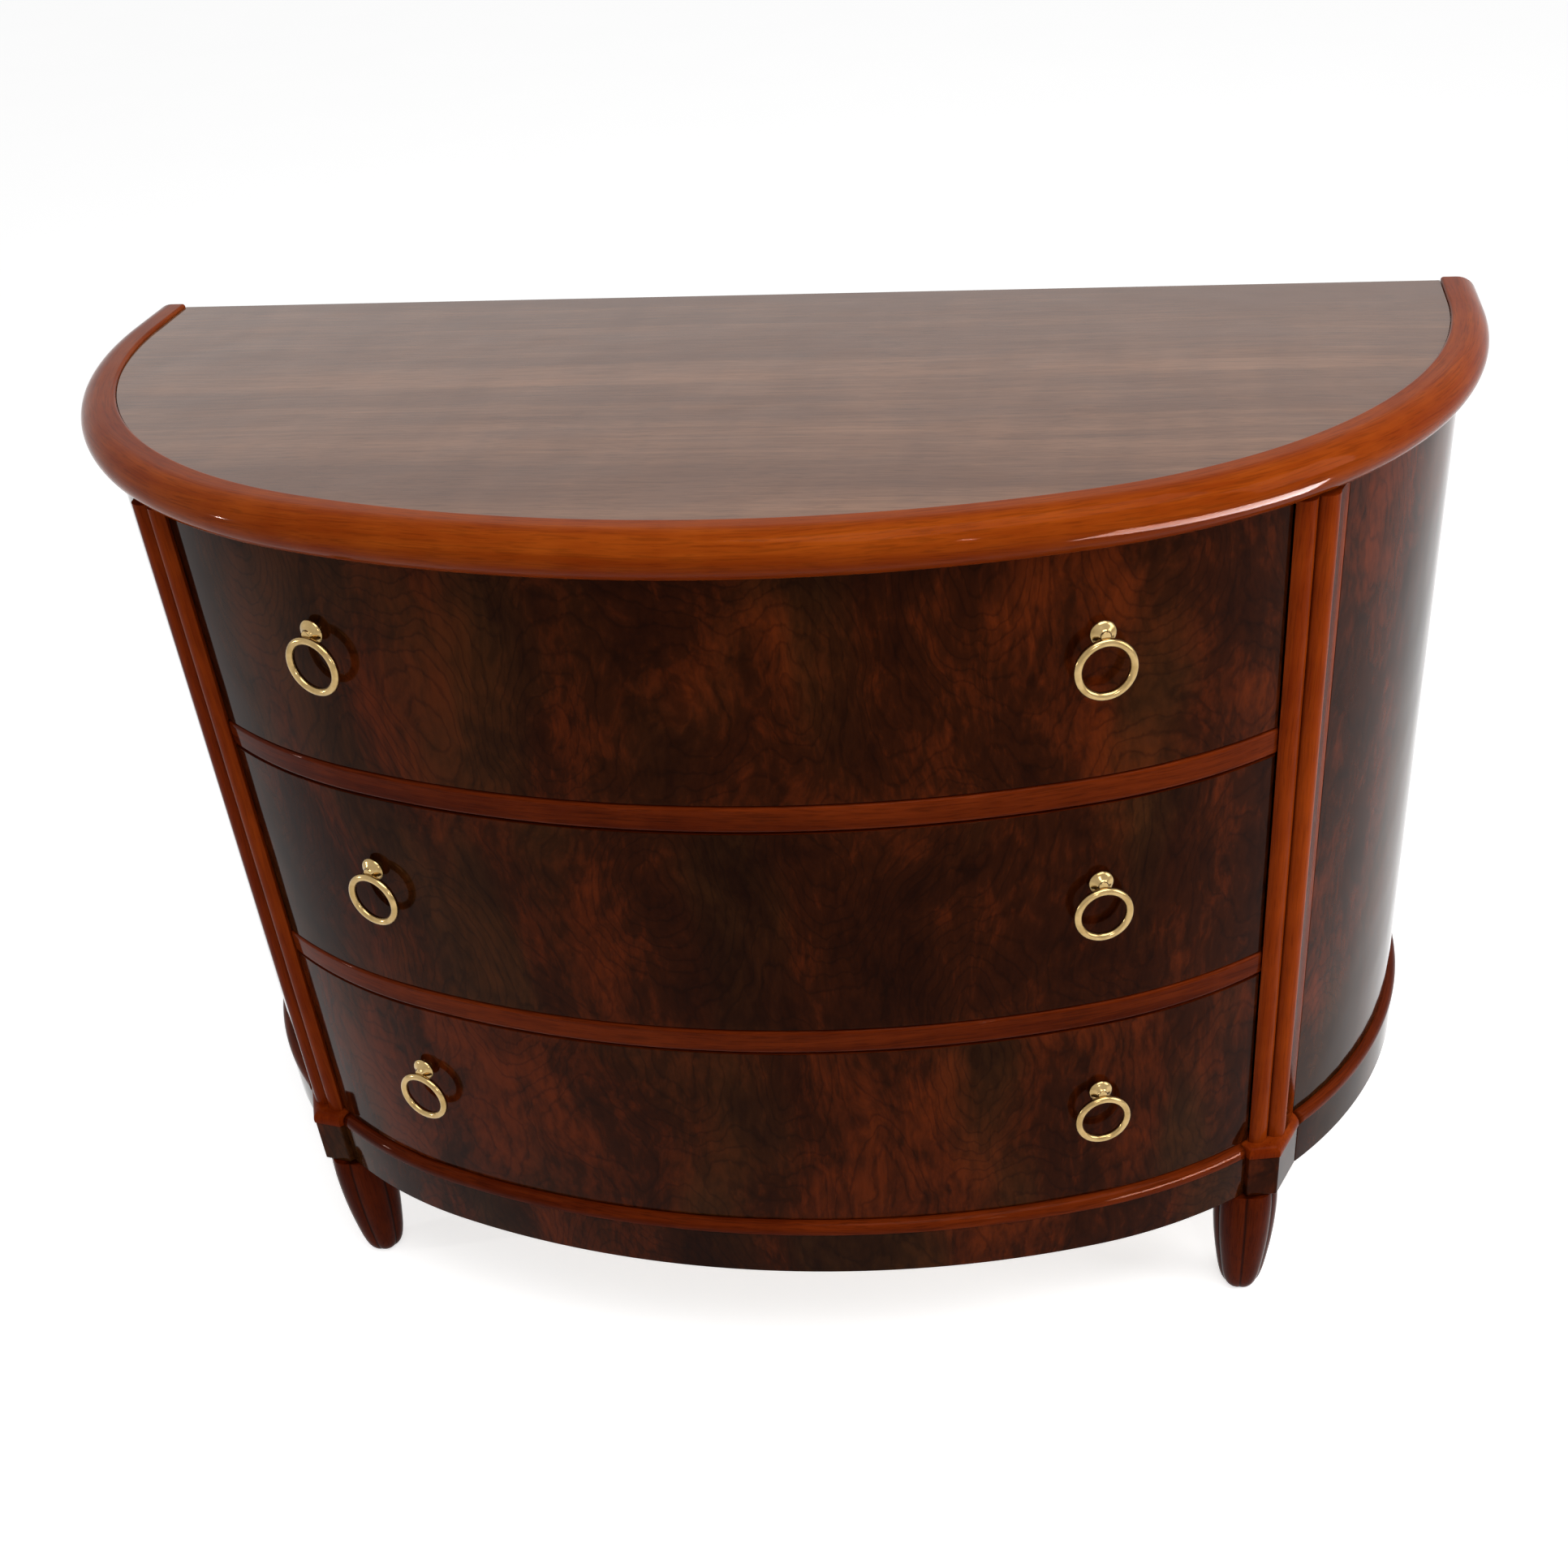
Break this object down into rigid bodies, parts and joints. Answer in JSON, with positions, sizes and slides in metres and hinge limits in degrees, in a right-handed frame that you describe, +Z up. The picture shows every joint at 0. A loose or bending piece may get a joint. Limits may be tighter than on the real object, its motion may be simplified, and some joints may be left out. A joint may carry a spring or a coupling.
{
  "type": "demilune chest of drawers",
  "caption": "Half-moon chest of drawers with bowed dovetailed drawers, ring pulls, reeded pilasters, a bullnose top, a beaded plinth and lobed feet.",
  "frame": {"origin": "on the floor, under the middle of the bounding box", "axes": "+X to the right as seen from the front, +Y to the flat back, +Z up; the bowed front faces -Y"},
  "size_m": [1.2002, 0.5328, 0.837],
  "materials": {
    "burl_veneer": "dark figured veneer under gloss lacquer",
    "top_veneer": "straight-grained veneer under gloss lacquer",
    "mahogany": "polished mahogany",
    "carcass_wood": "plain planed timber",
    "brass": "polished"
  },
  "bodies": {
    "carcass": {"top_panel": "top_veneer", "top_nosing": "mahogany", "side_panel_left": "burl_veneer", "side_panel_right": "burl_veneer", "pilaster_left": "mahogany", "pilaster_right": "mahogany", "back_panel": "carcass_wood", "drawer_rail_upper": "mahogany", "drawer_rail_lower": "mahogany", "bottom_board": "carcass_wood", "bead_front": "mahogany", "bead_left": "mahogany", "bead_right": "mahogany", "plinth_front": "burl_veneer", "plinth_left": "burl_veneer", "plinth_right": "burl_veneer", "plinth_back": "carcass_wood", "block_front_left": "burl_veneer", "block_front_right": "burl_veneer", "block_rear_left": "carcass_wood", "block_rear_right": "carcass_wood", "foot_front_left": "mahogany", "foot_front_right": "mahogany", "foot_rear_left": "mahogany", "foot_rear_right": "mahogany", "runner_upper_left": "carcass_wood", "runner_upper_right": "carcass_wood", "runner_lower_left": "carcass_wood", "runner_lower_right": "carcass_wood", "guide_left": "carcass_wood", "guide_right": "carcass_wood"},
    "drawer_top": {"drawer_top_front": "burl_veneer", "drawer_top_side_left": "carcass_wood", "drawer_top_side_right": "carcass_wood", "drawer_top_back": "carcass_wood", "drawer_top_base": "carcass_wood", "pull_post_top_left": "brass", "pull_post_top_right": "brass"},
    "drawer_middle": {"drawer_middle_front": "burl_veneer", "drawer_middle_side_left": "carcass_wood", "drawer_middle_side_right": "carcass_wood", "drawer_middle_back": "carcass_wood", "drawer_middle_base": "carcass_wood", "pull_post_middle_left": "brass", "pull_post_middle_right": "brass"},
    "drawer_bottom": {"drawer_bottom_front": "burl_veneer", "drawer_bottom_side_left": "carcass_wood", "drawer_bottom_side_right": "carcass_wood", "drawer_bottom_back": "carcass_wood", "drawer_bottom_base": "carcass_wood", "pull_post_bottom_left": "brass", "pull_post_bottom_right": "brass"},
    "ring_top_left": {"pull_ring_top_left": "brass"},
    "ring_top_right": {"pull_ring_top_right": "brass"},
    "ring_middle_left": {"pull_ring_middle_left": "brass"},
    "ring_middle_right": {"pull_ring_middle_right": "brass"},
    "ring_bottom_left": {"pull_ring_bottom_left": "brass"},
    "ring_bottom_right": {"pull_ring_bottom_right": "brass"}
  },
  "joints": [
    {"name": "drawer_top_slide", "type": "slide", "parent": "carcass", "child": "drawer_top", "axis": [0, -1, 0], "range_m": [0, 0.28]},
    {"name": "drawer_middle_slide", "type": "slide", "parent": "carcass", "child": "drawer_middle", "axis": [0, -1, 0], "range_m": [0, 0.28]},
    {"name": "drawer_bottom_slide", "type": "slide", "parent": "carcass", "child": "drawer_bottom", "axis": [0, -1, 0], "range_m": [0, 0.28]},
    {"name": "ring_top_left_hinge", "type": "hinge", "parent": "drawer_top", "child": "ring_top_left", "pos_m": [-0.29879, -0.20779, 0.7307], "axis": [-0.9422, 0.335, 0], "range_deg": [-10, 85]},
    {"name": "ring_top_right_hinge", "type": "hinge", "parent": "drawer_top", "child": "ring_top_right", "pos_m": [0.29879, -0.20779, 0.7307], "axis": [-0.9422, -0.335, 0], "range_deg": [-10, 85]},
    {"name": "ring_middle_left_hinge", "type": "hinge", "parent": "drawer_middle", "child": "ring_middle_left", "pos_m": [-0.2994, -0.20757, 0.5174], "axis": [-0.942, 0.3356, 0], "range_deg": [-10, 85]},
    {"name": "ring_middle_right_hinge", "type": "hinge", "parent": "drawer_middle", "child": "ring_middle_right", "pos_m": [0.2994, -0.20757, 0.5174], "axis": [-0.942, -0.3356, 0], "range_deg": [-10, 85]},
    {"name": "ring_bottom_left_hinge", "type": "hinge", "parent": "drawer_bottom", "child": "ring_bottom_left", "pos_m": [-0.30092, -0.20703, 0.3054], "axis": [-0.9414, 0.3374, 0], "range_deg": [-10, 85]},
    {"name": "ring_bottom_right_hinge", "type": "hinge", "parent": "drawer_bottom", "child": "ring_bottom_right", "pos_m": [0.30092, -0.20703, 0.3054], "axis": [-0.9414, -0.3374, 0], "range_deg": [-10, 85]}
  ]
}
